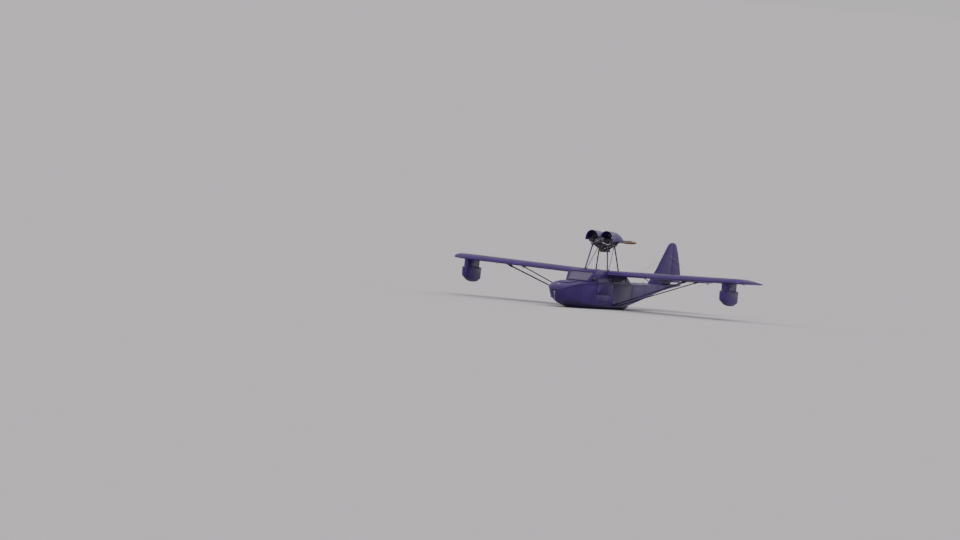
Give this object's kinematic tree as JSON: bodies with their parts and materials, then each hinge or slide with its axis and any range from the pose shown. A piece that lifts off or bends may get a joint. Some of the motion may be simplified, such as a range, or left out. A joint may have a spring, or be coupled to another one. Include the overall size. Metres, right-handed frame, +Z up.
{
  "type": "flying boat",
  "caption": "Small strut-braced high-wing flying boat with a stepped hull, wing floats, cabin doors and a pusher engine on a pylon above the wing.",
  "frame": {"origin": "centreline, on the waterline, below the middle of the wing chord", "axes": "+X towards the left wing tip, -Y towards the bow, +Z up"},
  "size_m": [10.5948, 7.19, 2.58],
  "materials": {
    "hull_paint": "satin",
    "wing_paint": "satin",
    "strut_paint": "satin",
    "steel_tube": "satin",
    "engine_casting": "matte",
    "glazing": "gloss",
    "propeller_wood": "varnished",
    "seat_fabric": "matte",
    "panel_black": "matte"
  },
  "bodies": {
    "airframe": {"hull": "hull_paint", "spray_rail_left": "hull_paint", "spray_rail_right": "hull_paint", "foredeck": "hull_paint", "aft_deck": "hull_paint", "cabin_frame": "hull_paint", "windshield": "glazing", "skylight": "glazing", "quarter_window_left": "glazing", "quarter_window_right": "glazing", "rear_window_left": "glazing", "rear_window_right": "glazing", "seat_cushion": "seat_fabric", "seat_back": "seat_fabric", "instrument_panel": "panel_black", "control_column": "steel_tube", "center_section": "wing_paint", "wing_left": "wing_paint", "wing_right": "wing_paint", "lift_strut_front_left": "strut_paint", "lift_strut_front_right": "strut_paint", "lift_strut_rear_left": "strut_paint", "lift_strut_rear_right": "strut_paint", "float_left": "hull_paint", "float_right": "hull_paint", "float_pylon_left": "hull_paint", "float_pylon_right": "hull_paint", "pylon_leg_front_left": "strut_paint", "pylon_leg_front_right": "strut_paint", "pylon_leg_rear_left": "strut_paint", "pylon_leg_rear_right": "strut_paint", "pylon_brace_left": "strut_paint", "pylon_brace_right": "strut_paint", "engine_bed": "steel_tube", "crankcase": "engine_casting", "air_box": "engine_casting", "cylinders_left": "engine_casting", "cylinders_right": "engine_casting", "scoop_left": "hull_paint", "scoop_right": "hull_paint", "muffler": "steel_tube", "fin": "hull_paint", "stabilizer_left": "wing_paint", "stabilizer_right": "wing_paint", "tail_strut_left": "strut_paint", "tail_strut_right": "strut_paint"},
    "propeller": {"propeller": "propeller_wood"},
    "aileron_left": {"aileron_left": "wing_paint"},
    "aileron_right": {"aileron_right": "wing_paint"},
    "elevator": {"elevator": "wing_paint"},
    "rudder": {"rudder": "hull_paint"},
    "door_left": {"door_left": "hull_paint", "door_window_left": "glazing"},
    "door_right": {"door_right": "hull_paint", "door_window_right": "glazing"}
  },
  "joints": [
    {"name": "propeller_spin", "type": "hinge", "parent": "airframe", "child": "propeller", "pos_m": [0, 0.38, 2.1], "axis": [0, 1, 0], "continuous": true},
    {"name": "aileron_left_hinge", "type": "hinge", "parent": "airframe", "child": "aileron_left", "pos_m": [3.99804, 0.47, 1.153], "axis": [0.9997, 0, 0.0244], "range_deg": [-20, 20]},
    {"name": "aileron_right_hinge", "type": "hinge", "parent": "airframe", "child": "aileron_right", "pos_m": [-3.99804, 0.47, 1.153], "axis": [0.9997, 0, -0.0244], "range_deg": [-20, 20]},
    {"name": "elevator_hinge", "type": "hinge", "parent": "airframe", "child": "elevator", "pos_m": [0, 3.625, 1], "axis": [1, 0, 0], "range_deg": [-20, 25]},
    {"name": "rudder_hinge", "type": "hinge", "parent": "airframe", "child": "rudder", "pos_m": [0, 3.75, 1.4], "axis": [0, 0, 1], "range_deg": [-25, 25]},
    {"name": "door_left_hinge", "type": "hinge", "parent": "airframe", "child": "door_left", "pos_m": [0.564, -1.286, 0.64], "axis": [0, 0, -1], "range_deg": [0, 75]},
    {"name": "door_right_hinge", "type": "hinge", "parent": "airframe", "child": "door_right", "pos_m": [-0.564, -1.286, 0.64], "axis": [0, 0, 1], "range_deg": [0, 75]}
  ],
  "couplings": [
    {"joint": "aileron_right_hinge", "follows": "aileron_left_hinge", "ratio": -1}
  ]
}
